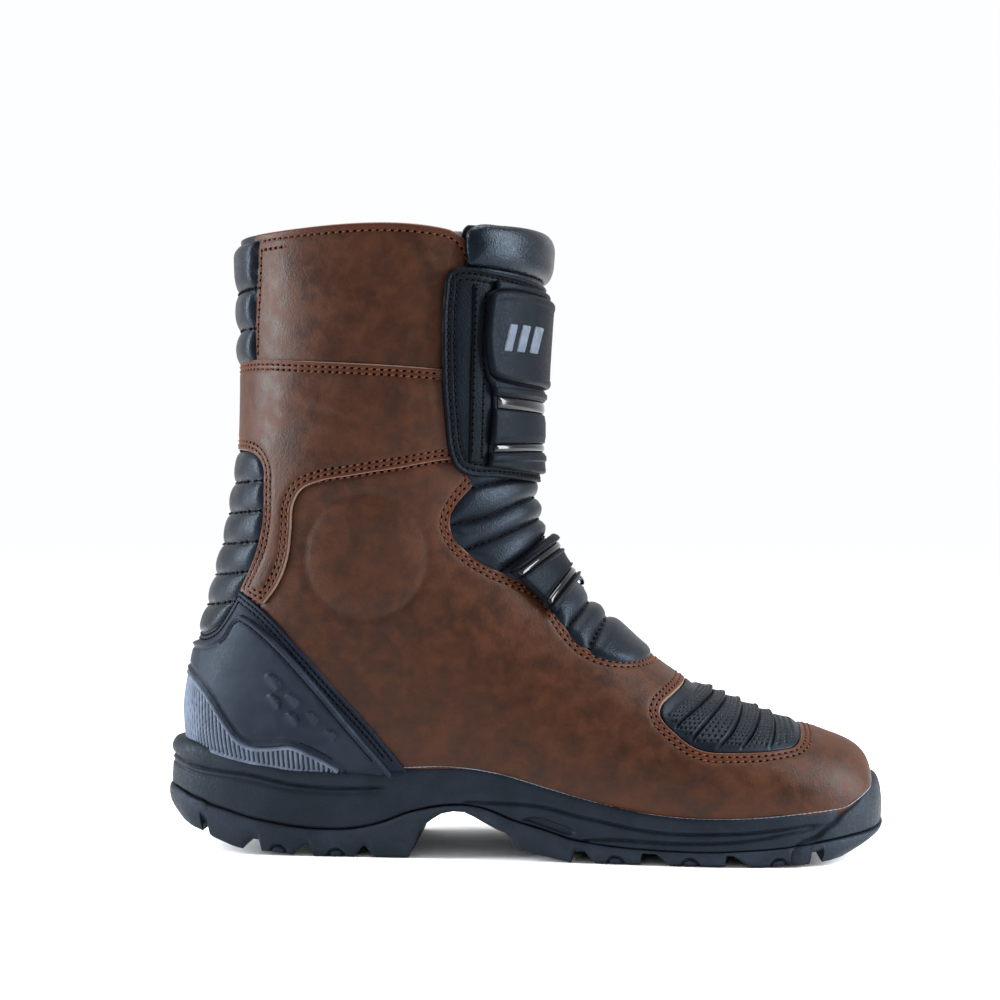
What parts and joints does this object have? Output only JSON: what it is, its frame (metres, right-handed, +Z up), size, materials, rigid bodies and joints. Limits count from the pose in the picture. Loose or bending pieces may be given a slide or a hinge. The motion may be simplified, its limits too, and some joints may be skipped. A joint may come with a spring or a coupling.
{
  "type": "motorcycle riding boot",
  "caption": "Ankle-height leather riding boot with lugged sole, folding shin flap and instep saddle closed by lever buckles on the outer side.",
  "frame": {"origin": "on the ground at the middle of the heel tread", "axes": "+X to the toe, +Y to the outer side of the left foot, +Z up"},
  "size_m": [0.313, 0.1256, 0.267],
  "materials": {
    "brown_leather": "distressed mottled leather, satin",
    "black_leather": "grained leather, satin",
    "rubber_sole": "matte tread rubber",
    "midsole_rubber": "matte textured side wall",
    "moulded_black": "matte moulded plastic",
    "grey_plastic": "ribbed soft plastic",
    "gloss_black": "polished inlay",
    "strap_plastic": "ribbed strap",
    "buckle_lever": "satin lever",
    "steel": "satin",
    "lining_fabric": "knitted lining",
    "footbed_fabric": "felt footbed",
    "board": "fibre board"
  },
  "bodies": {
    "root": {"outsole": "rubber_sole", "midsole": "midsole_rubber", "insole_board": "board", "shank": "steel", "footbed": "footbed_fabric", "lining": "lining_fabric", "heel_counter": "board", "toe_puff": "board", "ankle_protector_inner": "moulded_black", "ankle_protector_outer": "moulded_black", "quarter": "brown_leather", "shift_pad": "black_leather", "heel_overlay": "black_leather", "heel_cup": "moulded_black", "heel_insert": "grey_plastic", "mid_band": "brown_leather", "top_panel_inner": "brown_leather", "top_panel_outer": "brown_leather", "calf_pad": "black_leather", "achilles_pad": "black_leather", "tongue": "black_leather", "tongue_collar": "black_leather", "upper_buckle_base": "moulded_black", "upper_buckle_pin": "steel", "lower_buckle_base": "moulded_black", "lower_buckle_pin": "steel"},
    "shin_flap": {"shin_flap": "brown_leather", "shin_plate": "black_leather", "shin_badge": "black_leather", "shin_strip_upper": "gloss_black", "shin_strip_lower": "gloss_black", "shin_strap": "strap_plastic", "shin_strap_rivet_1": "steel", "shin_strap_rivet_2": "steel"},
    "instep_saddle": {"instep_saddle": "black_leather", "instep_strip_upper": "gloss_black", "instep_strip_lower": "gloss_black", "instep_strap": "strap_plastic", "instep_strap_rivet_1": "steel", "instep_strap_rivet_2": "steel"},
    "upper_lever": {"upper_buckle_lever": "buckle_lever"},
    "lower_lever": {"lower_buckle_lever": "buckle_lever"}
  },
  "joints": [
    {"name": "shin_flap_hinge", "type": "hinge", "parent": "root", "child": "shin_flap", "pos_m": [0.049, -0.0535, 0.2], "axis": [0, 0, -1], "range_deg": [0, 75]},
    {"name": "instep_saddle_hinge", "type": "hinge", "parent": "root", "child": "instep_saddle", "pos_m": [0.0866, -0.0365, 0.113], "axis": [0.7153, -0.0559, -0.6966], "range_deg": [0, 70]},
    {"name": "upper_lever_hinge", "type": "hinge", "parent": "root", "child": "upper_lever", "pos_m": [0.01989, 0.06225, 0.18473], "axis": [-0.0154, -0.1059, -0.9943], "range_deg": [0, 110]},
    {"name": "lower_lever_hinge", "type": "hinge", "parent": "root", "child": "lower_lever", "pos_m": [0.06633, 0.05244, 0.08296], "axis": [0.7259, -0.009, -0.6877], "range_deg": [0, 110]}
  ]
}
